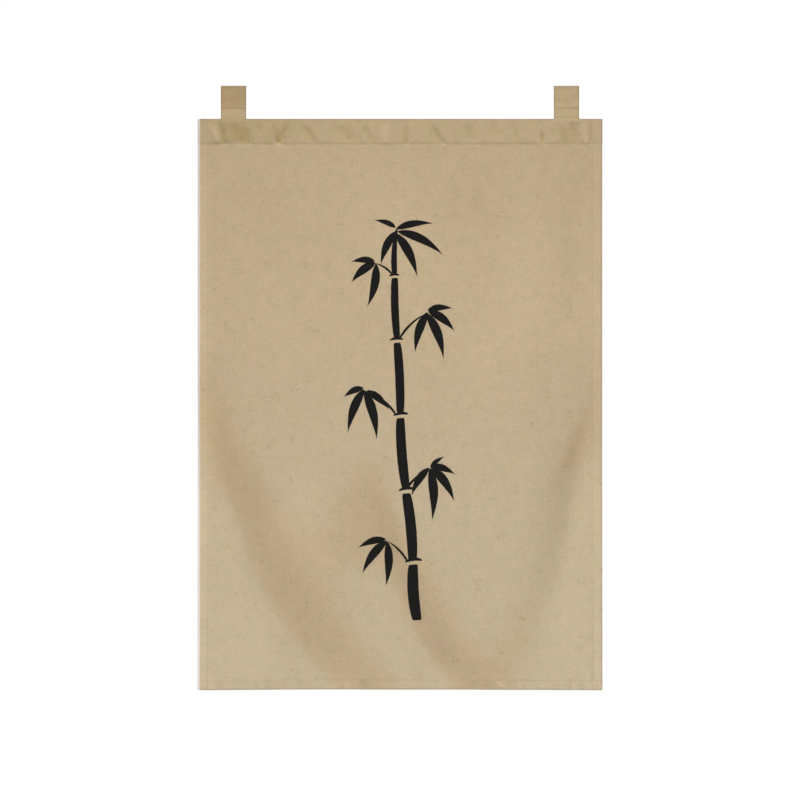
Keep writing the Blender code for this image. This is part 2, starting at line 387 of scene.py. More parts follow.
# The grids stop EDGE inside the outline, and a rounded edge fills the rest. Their lines lie close
# together at the outline, and round each row of stitches and the step of its turning. The places of
# these are counted down from the stitches, and at the sides in from EDGE plus HEM. From EVEN_FROM
# down to the bottom hem the cells are even.
EDGE = 0.0009
RIM_STEPS = 4
CELL_ACROSS = 0.0049
CELL_DOWN = 0.0057
FIRST_CELL = 0.0008
EVEN_FROM = 0.080
SIDE_LINES = (-0.006, -0.0018, 0.0, 0.0015, 0.0025, 0.008)
HEAD_LINES = (-0.006, -0.0016, 0.0, 0.0016, 0.0025, 0.0035)
FOOT_LINES = (-0.008, -0.0025, -0.0015, 0.0, 0.0018, 0.006)
side = (0.0, FIRST_CELL, *[HEM + inward for inward in SIDE_LINES])
left_half = [-HALF_WIDTH + EDGE + inset for inset in side]
across = stations(left_half + [-x for x in left_half[::-1]], CELL_ACROSS)
head = [HEADING + below for below in HEAD_LINES]
foot = [PANEL_DROP - HEM + below for below in FOOT_LINES]
breaks = [EDGE, EDGE + FIRST_CELL, TOP_DROP, *head, EVEN_FROM, *foot, PANEL_DROP - EDGE]
down = stations(breaks, CELL_DOWN)
x, drop = np.meshgrid(across, down)
front_grid = np.stack([x, cloth_front(x, drop), PANEL_TOP - drop], axis=2)
back_grid = np.stack([x, cloth_back(x, drop), PANEL_TOP - drop], axis=2)
points, faces, outline = closed_sheet(front_grid, back_grid, RIM_STEPS)
lay = np.stack([x.ravel() + HALF_WIDTH, PANEL_DROP - drop.ravel()], axis=1)
places = np.concatenate([lay, lay, *[lay[outline]] * (RIM_STEPS - 1)])
tone = cloth_tone(places[:, 0] - HALF_WIDTH, PANEL_DROP - places[:, 1])
cloth_panel = piece_from("cloth_panel", points, faces.tolist(), places, tone)
# 1 on the back grid, where the ink only shows through.
behind = np.zeros(len(points))
behind[x.size:2 * x.size] = 1.0
cloth_panel.data.attributes.new("behind", "FLOAT", "POINT").data.foreach_set("value", behind)
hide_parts("panel")


def colour(code):
    """A colour written as an sRGB hex value, turned linear."""
    values = [int(code[i:i + 2], 16) / 255.0 for i in (1, 3, 5)]
    return (*[v / 12.92 if v <= 0.04045 else ((v + 0.055) / 1.055) ** 2.4 for v in values], 1.0)


def add(tree, kind, inputs=None, **settings):
    """Adds a node. Settings are its properties; inputs gives each socket a value or the output it reads."""
    new = tree.nodes.new(kind)
    for name, value in settings.items():
        setattr(new, name, value)
    for socket, value in (inputs or {}).items():
        if isinstance(value, bpy.types.NodeSocket):
            tree.links.new(value, new.inputs[socket])
        else:
            new.inputs[socket].default_value = value
    return new


# What the eye sees in the weave: millimetres across the cloth and along it, detail, the noise values
# that become 0 and 1, and how much red, green and blue the cloth gains from one to the other.
Mark = namedtuple("Mark", "name across along detail low high swing")
MARKS = (
    Mark("fine_warp", 1.1, 26.0, 3.0, 0.30, 0.70, (0.028, 0.028, 0.028)),
    Mark("fine_weft", 30.0, 1.2, 3.0, 0.30, 0.70, (0.030, 0.030, 0.030)),
    Mark("thick_warp", 3.2, 18.0, 2.0, 0.56, 0.74, (-0.042, -0.044, -0.050)),
    Mark("thick_weft", 22.0, 3.0, 2.0, 0.56, 0.74, (-0.046, -0.048, -0.054)),
    Mark("pale_weft", 26.0, 3.6, 2.0, 0.58, 0.76, (0.044, 0.044, 0.046)),
    Mark("speck", 6.0, 4.0, 0.0, 0.72, 0.84, (-0.050, -0.060, -0.070)),
    Mark("small_blotch", 7.0, 8.0, 1.0, 0.30, 0.70, (0.044, 0.044, 0.044)),
    Mark("blotch", 24.0, 27.0, 1.0, 0.30, 0.70, (0.040, 0.040, 0.040)),
    Mark("pink_or_olive_small", 9.0, 10.0, 1.0, 0.30, 0.70, (0.016, -0.014, 0.004)),
    Mark("olive_patch", 30.0, 32.0, 2.0, 0.47, 0.60, (-0.036, 0.006, -0.020)),
    Mark("yellow_patch", 26.0, 28.0, 2.0, 0.50, 0.62, (0.004, 0.002, -0.034)),
)
# Each mark reads its noise this many of its own sizes away from the last one's, across and along.
MARK_SHIFT = (7.3, 3.1)
# Yarns really lie about 0.6 mm apart. They are drawn 0.9 mm apart, so that the weave shows, with
# crowns this high and a painted highlight on them this strong, and painted shade in the gaps this
# dark.
YARN_PITCH = 0.0009
YARN_RISE = 0.00012
YARN_CROWN_HIGHLIGHT = 1.03
YARN_GAP_SHADE = 0.95
# Loose fibres lie on the cloth in short curls about this far across, in places this far apart. They
# are drawn about 1.5 mm thick, far thicker than they are, so that they show. A curl's strip reaches
# this far from its noise's middle value, and lies where the other noise is between the two values.
CURL_MM = 14.0
CURL_SPACING_MM = 24.0
CURL_STRIP = 0.060
CURL_PLACES = (0.60, 0.68)
CURL_SWING = (-0.110, -0.135, -0.160)


def woven_linen(name, upper, lower, length):
    """Plain-woven unbleached linen and cotton, washed and pressed: matt, khaki beige, with uneven yarn
    and soft blotches. Its colour goes from lower to upper over the piece's length in metres.

    Returns the material, its tree, the cloth's place across and along, and its colour's output.
    """
    material = bpy.data.materials.new(name)
    material.use_nodes = True
    tree = material.node_tree
    place = add(tree, "ShaderNodeUVMap", uv_map="cloth").outputs["UV"]
    ruler = add(tree, "ShaderNodeSeparateXYZ", {"Vector": place})
    # The marks' middle values leave the colour as it is.
    gain = [1.0 - sum(mark.swing[i] for mark in MARKS) / 2.0 for i in range(3)]
    for number, mark in enumerate(MARKS):
        laid = {"Vector": place, "Scale": (1000.0 / mark.across, 1000.0 / mark.along, 1.0)}
        laid["Location"] = (MARK_SHIFT[0] * number, MARK_SHIFT[1] * number, 0.0)
        laid = add(tree, "ShaderNodeMapping", laid).outputs[0]
        noise = {"Vector": laid, "Scale": 1.0, "Detail": mark.detail}
        noise = add(tree, "ShaderNodeTexNoise", noise, noise_dimensions="2D").outputs["Fac"]
        seen = {"Value": noise, "From Min": mark.low, "From Max": mark.high}
        seen = add(tree, "ShaderNodeMapRange", seen).outputs[0]
        swung = {0: seen, 1: mark.swing, 2: gain}
        gain = add(tree, "ShaderNodeVectorMath", swung, operation="MULTIPLY_ADD").outputs[0]
    # Curls: where a noise passes through its middle value, in the places where another is high.
    curl = {"Vector": place, "Scale": 1000.0 / CURL_MM, "Detail": 1.0}
    curl = add(tree, "ShaderNodeTexNoise", curl, noise_dimensions="2D").outputs["Fac"]
    curl = add(tree, "ShaderNodeMath", {0: curl, 1: 0.5}, operation="SUBTRACT").outputs[0]
    curl = add(tree, "ShaderNodeMath", {0: curl}, operation="ABSOLUTE").outputs[0]
    curl = {"Value": curl, "From Max": CURL_STRIP, "To Min": 1.0, "To Max": 0.0}
    curl = add(tree, "ShaderNodeMapRange", curl, interpolation_type="SMOOTHSTEP").outputs[0]
    here = {"Vector": place, "Scale": 1000.0 / CURL_SPACING_MM, "Detail": 2.0}
    here = add(tree, "ShaderNodeTexNoise", here, noise_dimensions="2D").outputs["Fac"]
    here = {"Value": here, "From Min": CURL_PLACES[0], "From Max": CURL_PLACES[1]}
    here = add(tree, "ShaderNodeMapRange", here).outputs[0]
    curl = add(tree, "ShaderNodeMath", {0: curl, 1: here}, operation="MULTIPLY").outputs[0]
    curl = {0: curl, 1: CURL_SWING, 2: gain}
    gain = add(tree, "ShaderNodeVectorMath", curl, operation="MULTIPLY_ADD").outputs[0]
    # Crowns where one yarn passes over the other: |sin across * sin along|.
    waves = []
    for axis in ("X", "Y"):
        turn = {0: ruler.outputs[axis], 1: math.pi / YARN_PITCH}
        turn = add(tree, "ShaderNodeMath", turn, operation="MULTIPLY").outputs[0]
        waves.append(add(tree, "ShaderNodeMath", {0: turn}, operation="SINE").outputs[0])
    crown = add(tree, "ShaderNodeMath", {0: waves[0], 1: waves[1]}, operation="MULTIPLY").outputs[0]
    crown = add(tree, "ShaderNodeMath", {0: crown}, operation="ABSOLUTE").outputs[0]
    # A painted highlight on the crowns, and painted shade in the gaps between them.
    between = {"Value": crown, "To Min": YARN_GAP_SHADE, "To Max": YARN_CROWN_HIGHLIGHT}
    between = add(tree, "ShaderNodeMapRange", between).outputs[0]
    # The light and shade painted on the piece, read from its tone attribute.
    tone = add(tree, "ShaderNodeAttribute", attribute_name="tone").outputs["Vector"]
    height = {"Value": ruler.outputs["Y"], "From Max": length}
    height = add(tree, "ShaderNodeMapRange", height, interpolation_type="SMOOTHSTEP").outputs[0]
    dyed = {0: height, 6: colour(lower), 7: colour(upper)}
    dyed = add(tree, "ShaderNodeMix", dyed, data_type="RGBA").outputs[2]
    for part in (gain, between, tone):
        dyed = add(tree, "ShaderNodeVectorMath", {0: dyed, 1: part}, operation="MULTIPLY").outputs[0]
    bump = add(tree, "ShaderNodeBump", {"Height": crown, "Distance": YARN_RISE})
    shader = tree.nodes["Principled BSDF"]
    tree.links.new(bump.outputs[0], shader.inputs["Normal"])
    tree.links.new(dyed, shader.inputs["Base Color"])
    shader.inputs["Roughness"].default_value = 0.88
    shader.inputs["Specular IOR Level"].default_value = 0.2
    shader.inputs["Sheen Weight"].default_value = 0.08
    return material, tree, ruler, dyed


# A soft line of painted shade at one place on an axis of the cloth, X to the right or Y up or along
# it, along an edge or a row of stitches. It reaches this far to each side, and this share of the
# light is left in its middle.
Line = namedtuple("Line", "name axis place reach light")


def with_shade_lines(tree, ruler, dyed, lines):
    """The cloth's colour times each line's painted shade, which rises smoothly to 1 at the line's reach."""
    for line in lines:
        away = {0: ruler.outputs[line.axis], 1: line.place}
        away = add(tree, "ShaderNodeMath", away, operation="SUBTRACT").outputs[0]
        away = add(tree, "ShaderNodeMath", {0: away}, operation="ABSOLUTE").outputs[0]
        light = {"Value": away, "From Max": line.reach, "To Min": line.light, "To Max": 1.0}
        light = add(tree, "ShaderNodeMapRange", light, interpolation_type="SMOOTHSTEP").outputs[0]
        dyed = add(tree, "ShaderNodeVectorMath", {0: dyed, 1: light}, operation="MULTIPLY").outputs[0]
    return dyed


linen, tree, ruler, dyed = woven_linen("linen_cotton_plain_weave", "#C2AC89", "#B9A98C", PANEL_DROP)
# The heading's line lies this far below its stitches.
HEADING_LINE = 0.0013
PANEL_SHADE_LINES = (
    Line("heading_stitches", "Y", PANEL_DROP - HEADING - HEADING_LINE, 0.0034, 0.84),
    Line("top_edge", "Y", PANEL_DROP, 0.0032, 0.60),
    Line("foot_stitches", "Y", HEM, 0.0030, 0.985),
    Line("foot_edge", "Y", 0.0, 0.0028, 0.78),
    Line("right_edge", "X", 2.0 * HALF_WIDTH, 0.0034, 0.70),
)
dyed = with_shade_lines(tree, ruler, dyed, PANEL_SHADE_LINES)
# A pale strip runs down the left edge, and ends softly between these widths.
LEFT_PALE_STRIP = (0.0042, 0.0052)
strip = {"Value": ruler.outputs["X"], "From Min": LEFT_PALE_STRIP[1], "From Max": LEFT_PALE_STRIP[0]}
strip = add(tree, "ShaderNodeMapRange", strip, interpolation_type="SMOOTHSTEP").outputs[0]
dyed = {0: strip, 6: dyed, 7: colour("#DBD1C7")}
dyed = add(tree, "ShaderNodeMix", dyed, data_type="RGBA").outputs[2]

# The painted bamboo: black fabric ink, brushed on to the front. It soaked in and dried matt, with
# crisp edges, and shows faintly at the back. One stroke is one stalk, joint, twig or leaf.

# A stroke starts at x and a drop, and runs its length at an angle in degrees, 0 straight down and
# 90 to the right. `bow` is how far its middle lies off the straight line.
Stroke = namedtuple("Stroke", "kind x drop angle length width bow")
STROKES = (
    Stroke("stalk", 0.0360, 1.054, 184.0, 0.118, 0.0240, 0.004),
    Stroke("stalk", 0.0265, 0.926, 185.5, 0.140, 0.0225, -0.003),
    Stroke("stalk", 0.0125, 0.776, 184.5, 0.148, 0.0210, 0.003),
    Stroke("stalk", 0.0005, 0.618, 182.5, 0.148, 0.0190, -0.002),
    Stroke("stalk", -0.0065, 0.460, 182.0, 0.126, 0.0165, 0.002),
    Stroke("tip", -0.0115, 0.325, 177.0, 0.096, 0.0125, 0.003),
    Stroke("joint", 0.0105, 0.931, 96.0, 0.036, 0.0074, 0.004),
    Stroke("joint", -0.0025, 0.781, 95.0, 0.034, 0.0070, 0.004),
    Stroke("joint", -0.0135, 0.623, 96.0, 0.031, 0.0064, 0.003),
    Stroke("joint", -0.0215, 0.465, 94.0, 0.028, 0.0060, 0.003),
    Stroke("joint", -0.0230, 0.330, 96.0, 0.022, 0.0052, 0.002),
    Stroke("twig", 0.0000, 0.460, 132.0, 0.078, 0.0052, 0.006),
    Stroke("twig", -0.0100, 0.619, -126.0, 0.082, 0.0056, -0.007),
    Stroke("twig", 0.0140, 0.777, 130.0, 0.066, 0.0054, 0.005),
    Stroke("twig", 0.0140, 0.927, -134.0, 0.058, 0.0050, -0.004),
    Stroke("twig", -0.0160, 0.327, -122.0, 0.046, 0.0046, -0.004),
    Stroke("leaf", -0.0090, 0.240, 26.0, 0.104, 0.0195, 0.007),
    Stroke("leaf", -0.0050, 0.236, 62.0, 0.110, 0.0185, 0.009),
    Stroke("leaf", -0.0090, 0.236, -24.0, 0.078, 0.0170, -0.005),
    Stroke("leaf", -0.0080, 0.231, 98.0, 0.080, 0.0150, 0.006),
    Stroke("leaf", -0.0090, 0.228, -108.0, 0.048, 0.0115, -0.004),
    Stroke("leaf", -0.0520, 0.302, -50.0, 0.066, 0.0180, -0.005),
    Stroke("leaf", -0.0530, 0.299, -88.0, 0.050, 0.0140, -0.004),
    Stroke("leaf", -0.0500, 0.304, -12.0, 0.094, 0.0185, 0.006),
    Stroke("leaf", 0.0560, 0.408, 20.0, 0.104, 0.0200, 0.007),
    Stroke("leaf", 0.0580, 0.406, -17.0, 0.090, 0.0185, -0.006),
    Stroke("leaf", 0.0600, 0.404, 52.0, 0.070, 0.0180, 0.006),
    Stroke("leaf", 0.0580, 0.402, 94.0, 0.054, 0.0140, 0.004),
    Stroke("leaf", -0.0760, 0.568, -20.0, 0.098, 0.0190, -0.006),
    Stroke("leaf", -0.0750, 0.570, 14.0, 0.108, 0.0200, 0.006),
    Stroke("leaf", -0.0700, 0.571, 50.0, 0.062, 0.0160, 0.004),
    Stroke("leaf", -0.0770, 0.565, -64.0, 0.046, 0.0140, -0.004),
    Stroke("leaf", 0.0630, 0.734, 2.0, 0.112, 0.0200, 0.006),
    Stroke("leaf", 0.0650, 0.732, 34.0, 0.088, 0.0190, 0.007),
    Stroke("leaf", 0.0660, 0.729, 70.0, 0.054, 0.0150, 0.004),
    Stroke("leaf", 0.0610, 0.733, -32.0, 0.070, 0.0165, -0.005),
    Stroke("leaf", 0.0640, 0.733, 128.0, 0.038, 0.0100, 0.003),
    Stroke("leaf", -0.0280, 0.886, -36.0, 0.088, 0.0185, -0.006),
    Stroke("leaf", -0.0270, 0.888, -2.0, 0.096, 0.0180, 0.005),
    Stroke("leaf", -0.0300, 0.883, -72.0, 0.062, 0.0150, -0.005),
)
# How blunt each kind of stroke is at its start and its end: near 0 is square, 1 is a point.
BLUNTNESS = {
    "stalk": (0.10, 0.10),
    "tip": (0.12, 0.45),
    "joint": (0.35, 0.35),
    "twig": (0.15, 0.60),
    "leaf": (0.75, 1.35),
}

# One stroke, in lengths of itself. Its half width at t from 0 to 1 is width / 2 * (t / peak)^rise *
# ((1 - t) / (1 - peak))^fall, its middle lies at 4 * bow * t * (1 - t), and the output is how far
# inside its edge a point is, in metres. A row is one step: its result, the operation, what it takes.
STROKE_SUM = (
    ("t", "MAXIMUM", "along", 0.0),
    ("t", "MINIMUM", "t", 1.0),
    ("left_over", "SUBTRACT", 1.0, "t"),
    ("risen", "DIVIDE", "t", "peak"),
    ("risen", "POWER", "risen", "rise"),
    ("after_peak", "SUBTRACT", 1.0, "peak"),
    ("fallen", "DIVIDE", "left_over", "after_peak"),
    ("fallen", "POWER", "fallen", "fall"),
    ("half", "MULTIPLY", "width", 0.5),
    ("half", "MULTIPLY", "half", "risen"),
    ("half", "MULTIPLY", "half", "fallen"),
    ("middle", "MULTIPLY", "t", "left_over"),
    ("middle", "MULTIPLY", "middle", "bow"),
    ("middle", "MULTIPLY", "middle", 4.0),
    ("aside", "SUBTRACT", "across", "middle"),
    ("aside", "ABSOLUTE", "aside"),
    ("past_end", "SUBTRACT", "along", "t"),
    ("past_end", "ABSOLUTE", "past_end"),
    ("inside", "SUBTRACT", "half", "aside"),
    ("inside", "SUBTRACT", "inside", "past_end"),
    ("inside", "MULTIPLY", "inside", "length"),
)
stroke_tree = bpy.data.node_groups.new("brush_stroke", "ShaderNodeTree")
stroke_tree.interface.new_socket("place", in_out="INPUT", socket_type="NodeSocketVector")
for socket in ("width", "bow", "rise", "fall", "peak", "length"):
    stroke_tree.interface.new_socket(socket, in_out="INPUT", socket_type="NodeSocketFloat")
stroke_tree.interface.new_socket("inside", in_out="OUTPUT", socket_type="NodeSocketFloat")
given = add(stroke_tree, "NodeGroupInput").outputs
spot = add(stroke_tree, "ShaderNodeSeparateXYZ", {"Vector": given["place"]}).outputs
known = {socket.name: socket for socket in given if socket.name}
known |= {"along": spot["X"], "across": spot["Y"]}
for result, operation, *terms in STROKE_SUM:
    taken = {number: known.get(term, term) for number, term in enumerate(terms)}
    known[result] = add(stroke_tree, "ShaderNodeMath", taken, operation=operation).outputs[0]
add(stroke_tree, "NodeGroupOutput", {"inside": known["inside"]})

place = add(tree, "ShaderNodeUVMap", uv_map="cloth").outputs["UV"]
# How far inside any stroke a place on the cloth is, in metres, starting far outside them all.
painted = -1.0
for stroke in STROKES:
    laid = {"Vector": place, "Location": (stroke.x + HALF_WIDTH, PANEL_DROP - stroke.drop, 0.0)}
    laid |= {"Rotation": (0.0, 0.0, math.radians(stroke.angle - 90.0))}
    laid |= {"Scale": (stroke.length, stroke.length, 1.0)}
    laid = add(tree, "ShaderNodeMapping", laid, vector_type="TEXTURE").outputs[0]
    first, last = BLUNTNESS[stroke.kind]
    shape = {"place": laid, "width": stroke.width / stroke.length, "bow": stroke.bow / stroke.length}
    shape |= {"rise": first, "fall": last, "peak": first / (first + last), "length": stroke.length}
    brushed = add(tree, "ShaderNodeGroup", shape, node_tree=stroke_tree).outputs[0]
    painted = add(tree, "ShaderNodeMath", {0: brushed, 1: painted}, operation="MAXIMUM").outputs[0]
# The ink creeps along the yarns, by less than CREEP and mostly by less than 0.5 mm, so that its edge
# is a little rough, in waves about 2.4 mm long. Over twice INK_EDGE it thins out.
CREEP = 0.0008
CREEPS_PER_METRE = 420.0
INK_EDGE = 0.0003
creep = {"Vector": place, "Scale": CREEPS_PER_METRE, "Detail": 2.0}
creep = add(tree, "ShaderNodeTexNoise", creep, noise_dimensions="2D").outputs["Fac"]
creep = add(tree, "ShaderNodeMapRange", {"Value": creep, "To Min": -CREEP, "To Max": CREEP}).outputs[0]
painted = add(tree, "ShaderNodeMath", {0: painted, 1: creep}, operation="ADD").outputs[0]
inked = {"Value": painted, "From Min": -INK_EDGE, "From Max": INK_EDGE}
inked = add(tree, "ShaderNodeMapRange", inked).outputs[0]
# At the back the ink shows through at under half its strength.
SHOWN_THROUGH = 0.45
through = add(tree, "ShaderNodeAttribute", attribute_name="behind").outputs["Fac"]
through = {"Value": through, "To Min": 1.0, "To Max": SHOWN_THROUGH}
through = add(tree, "ShaderNodeMapRange", through).outputs[0]
inked = add(tree, "ShaderNodeMath", {0: inked, 1: through}, operation="MULTIPLY").outputs[0]
dyed = add(tree, "ShaderNodeMix", {0: inked, 6: dyed, 7: colour("#0C0B0A")}, data_type="RGBA").outputs[2]
tree.links.new(dyed, tree.nodes["Principled BSDF"].inputs["Base Color"])
cloth_panel.data.materials.append(linen)

# The loops: straps of doubled cloth, 53 mm wide, folded over where a rod goes, with both ends
# stitched together below it and sewn in behind the heading.

STRAP = 0.0013
LOOP_RADIUS = 0.0086
SEAM_Z = -0.0436
LAYER_GAP = 0.00005
TAIL_DROP = 0.0555
TAIL_Z = PANEL_TOP - TAIL_DROP
STEM = SEAM_Z - TAIL_Z
# Points along each tail, up each straight side and round the whole arc, and across the strap and
# round each of its edges.
STEM_POINTS = 21
STRAIGHT_POINTS = 13
ARC_POINTS = 40
WIDTH_POINTS = 19
SIDE_POINTS = 5


def strap_path():
    """The middle of the strap's thickness in side view (y, z), from one tail over the loop to the other.

    An arc of the rod's radius plus half the strap, closed by two straight lines to the seam, whose
    slant from upright has the sine radius / (seam to rod's middle).
    """
    radius = LOOP_RADIUS + STRAP / 2.0
    gap = STRAP / 2.0 + LAYER_GAP
    slant = math.asin((radius - gap) / (-LOOP_RADIUS - SEAM_Z))
    angles = np.linspace(math.pi + slant, -slant, ARC_POINTS)
    arc = np.stack([radius * np.cos(angles), radius * np.sin(angles) - LOOP_RADIUS], axis=1)
    lift = np.linspace(0.0, 1.0, STRAIGHT_POINTS + 1)[:-1, None]
    seam = np.array([[-gap, SEAM_Z]])
    straight = seam + (arc[0] - seam) * lift
    climb = np.linspace(0.0, 1.0, STEM_POINTS + 1)[:-1, None]
    stem = np.array([[-gap, TAIL_Z]]) + np.array([[0.0, STEM]]) * climb
    front = np.concatenate([stem, straight, arc[:ARC_POINTS // 2]])
    back = front[::-1] * np.array([-1.0, 1.0])
    return np.concatenate([front, back])


# In shares of its length, the strap's front fades into its back over FRONT_FADE and ends at
# FRONT_SHARE. Where the front faces up it gets painted shade, and UP_SHARE of how far it does counts.
FRONT_SHARE = 0.56
FRONT_FADE = 0.06
UP_SHARE = 0.8
# It gains this much painted light down to its seam, from this far above. Below the seam its painted
# light is the first value at the panel's edge, and loses the second by this far up. They meet over
# SEAM_SOFT.
SEAM_LIGHT, SEAM_REACH = 0.05, 0.014
EDGE_LIGHT, EDGE_LOSS, EDGE_REACH = 1.05, 0.07, 0.020
SEAM_SOFT = 0.001


def strap_loop(name, x, below_seam):
    """One strap: a rounded band carried along strap_path, closed at both tails.

    Above its seam its tone is near / (1 + up), where near is the painted light beside the seam, and up
    how far the front faces up: painted shade, so that its top, which faces the high light, looks no
    lighter than below. Below the seam its tone is below_seam times the painted light there.
    """
    path = strap_path()
    step = np.gradient(path, axis=0)
    step /= np.linalg.norm(step, axis=1, keepdims=True)
    normal = np.stack([step[:, 1], -step[:, 0]], axis=1)
    along = np.concatenate([[0.0], np.cumsum(np.linalg.norm(np.diff(path, axis=0), axis=1))])
    half = STRAP_WIDTH / 2.0
    width = np.linspace(-half + STRAP / 2.0, half - STRAP / 2.0, WIDTH_POINTS)
    side = np.linspace(math.pi / 2.0, -math.pi / 2.0, SIDE_POINTS + 2)[1:-1]
    ring_x = np.concatenate([width, half - STRAP / 2.0 + STRAP / 2.0 * np.cos(side)])
    ring_x = np.concatenate([ring_x, -ring_x])
    ring_n = np.concatenate([np.full(WIDTH_POINTS, 1.0), np.sin(side)])
    ring_n = np.concatenate([ring_n, -ring_n]) * STRAP / 2.0
    rows, columns = len(path), len(ring_x)
    points = np.empty((rows, columns, 3))
    points[:, :, 0] = x + ring_x[None, :]
    points[:, :, 1] = path[:, None, 0] - normal[:, None, 0] * ring_n[None, :]
    points[:, :, 2] = path[:, None, 1] - normal[:, None, 1] * ring_n[None, :]
    number = np.arange(rows * columns).reshape(rows, columns)
    right = np.roll(number, -1, axis=1)
    band = np.stack([number[:-1], right[:-1], right[1:], number[1:]], axis=-1).reshape(-1, 4)
    faces = band.tolist() + [number[0, ::-1].tolist(), number[-1].tolist()]
    places = np.stack(np.broadcast_arrays(ring_x + half, along[:, None]), axis=2)
    share = along / along[-1]
    up = step[:, 0] * smooth((FRONT_SHARE - share) / FRONT_FADE)
    near = 1.0 + SEAM_LIGHT * smooth((STEM + SEAM_REACH - along) / SEAM_REACH)
    # Painted shade where the front faces up over the top of the loop.
    pressed = near / (1.0 + np.minimum(up, UP_SHARE * up))
    stem = smooth((STEM + SEAM_SOFT / 2.0 - along) / SEAM_SOFT)[:, None]
    light = EDGE_LIGHT - EDGE_LOSS * smooth((along - TAIL_DROP) / EDGE_REACH)[:, None]
    tone = pressed[:, None] * (1.0 - stem) + np.array(below_seam) * light * stem
    tone = np.repeat(tone, columns, axis=0)
    strap = piece_from(name, points.reshape(-1, 3), faces, places.reshape(-1, 2), tone)
    return strap


STRAP_LENGTH = float(np.linalg.norm(np.diff(strap_path(), axis=0), axis=1).sum())
# The seam's lines lie this far below the point where the strap's two layers part.
SEAM_LINE = 0.0018
STRAP_SHADE_LINES = (
    Line("left_edge", "X", 0.0, 0.0034, 0.66),
    Line("right_edge", "X", STRAP_WIDTH, 0.0034, 0.66),
    Line("front_seam", "Y", STEM - SEAM_LINE, 0.0030, 0.92),
    Line("back_seam", "Y", STRAP_LENGTH - STEM + SEAM_LINE, 0.0030, 0.92),
)
# Each loop's solid, its middle, its colour, and the light painted on it in red, green and blue below
# its seam in front.
Loop = namedtuple("Loop", "node x cloth below_seam")
LOOPS = (
    Loop("tab_left", -LOOP_SPACING / 2.0, "#B19872", (1.20, 1.25, 1.36)),
    Loop("tab_right", LOOP_SPACING / 2.0, "#BBA580", (1.07, 1.09, 1.09)),
)
for loop in LOOPS:
    strap = strap_loop(loop.node.replace("tab", "strap"), loop.x, loop.below_seam)
    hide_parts(loop.node)
    pressed_linen = woven_linen(loop.node + "_pressed_linen", loop.cloth, loop.cloth, STRAP_LENGTH)
    strap_linen, tree, ruler, dyed = pressed_linen
    dyed = with_shade_lines(tree, ruler, dyed, STRAP_SHADE_LINES)
    tree.links.new(dyed, tree.nodes["Principled BSDF"].inputs["Base Color"])
    strap.data.materials.append(strap_linen)

# The thread: khaki spun sewing thread, a little darker than the cloth, in lockstitch. The heading,
# the three hems and the loops' seams are sewn with it, and each stitch sinks in at both ends. Its
# slanting twist shows as fine darker stripes, and its dye is a little patchy.

STITCH_PITCH = 0.0032
STITCH_LENGTH = 0.0026
THREAD_RADIUS = 0.00024
# Along a stitch: its place in half lengths, its radius, and its height above the cloth, in radii.
STITCH_ALONG = np.array([-1.0, -0.7, 0.0, 0.7, 1.0])
STITCH_ROUND = np.array([0.45, 0.90, 1.0, 0.90, 0.45])
STITCH_HEIGHT = np.array([-0.8, 0.3, 0.6, 0.3, -0.8])
STITCH_SIDES = 6
# The dye's patches are this far across. The twist's stripes lie 2 pi / (10 * TWIST_SCALE), or 0.9 mm,
# apart along a stitch, a little coarser than real ones, so that they show from close by.
DYE_PATCH_MM = 6.25
TWIST_SCALE = 700.0
TWIST_DARK = 0.78

thread = bpy.data.materials.new("khaki_sewing_thread")
thread.use_nodes = True
tree = thread.node_tree
place = add(tree, "ShaderNodeUVMap", uv_map="cloth").outputs["UV"]
patchy = {"Vector": place, "Scale": 1000.0 / DYE_PATCH_MM, "Detail": 2.0}
patchy = add(tree, "ShaderNodeTexNoise", patchy, noise_dimensions="2D").outputs["Fac"]
twist = {"Vector": place, "Scale": TWIST_SCALE, "Distortion": 0.6}
twist = add(tree, "ShaderNodeTexWave", twist, bands_direction="DIAGONAL").outputs["Fac"]
dark = add(tree, "ShaderNodeMapRange", {"Value": twist, "To Min": TWIST_DARK, "To Max": 1.0}).outputs[0]
spun = {0: patchy, 6: colour("#A08A63"), 7: colour("#BBA57D")}
spun = add(tree, "ShaderNodeMix", spun, data_type="RGBA").outputs[2]
spun = add(tree, "ShaderNodeVectorMath", {0: spun, 1: dark}, operation="MULTIPLY").outputs[0]
tree.links.new(spun, tree.nodes["Principled BSDF"].inputs["Base Color"])
tree.nodes["Principled BSDF"].inputs["Roughness"].default_value = 0.6


